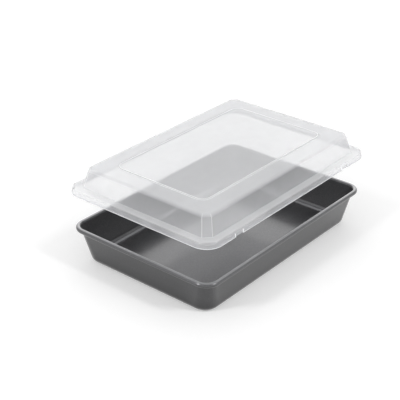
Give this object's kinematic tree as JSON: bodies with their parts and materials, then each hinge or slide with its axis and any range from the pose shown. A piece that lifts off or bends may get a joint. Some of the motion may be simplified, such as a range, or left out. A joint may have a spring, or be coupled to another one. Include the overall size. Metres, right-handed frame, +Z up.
{
  "type": "cake pan with lid",
  "caption": "Rectangular non-stick cake pan with drafted walls and a rolled rim, under a clear domed press-on lid lifted clear of it.",
  "frame": {"origin": "middle of the pan's underside, directly below the middle of the lid", "axes": "+X along the long side, +Y along the short side, +Z up, the way the lid lifts"},
  "size_m": [0.3478, 0.2428, 0.1375],
  "materials": {
    "non_stick_steel": "satin",
    "clear_polypropylene": "semi-gloss, see-through"
  },
  "bodies": {
    "pan": {"pan": "non_stick_steel"},
    "lid": {"lid": "clear_polypropylene"}
  },
  "joints": [
    {"name": "lid_lift", "type": "slide", "parent": "pan", "child": "lid", "axis": [0, 0, 1], "range_m": [-0.0558, 0]}
  ]
}
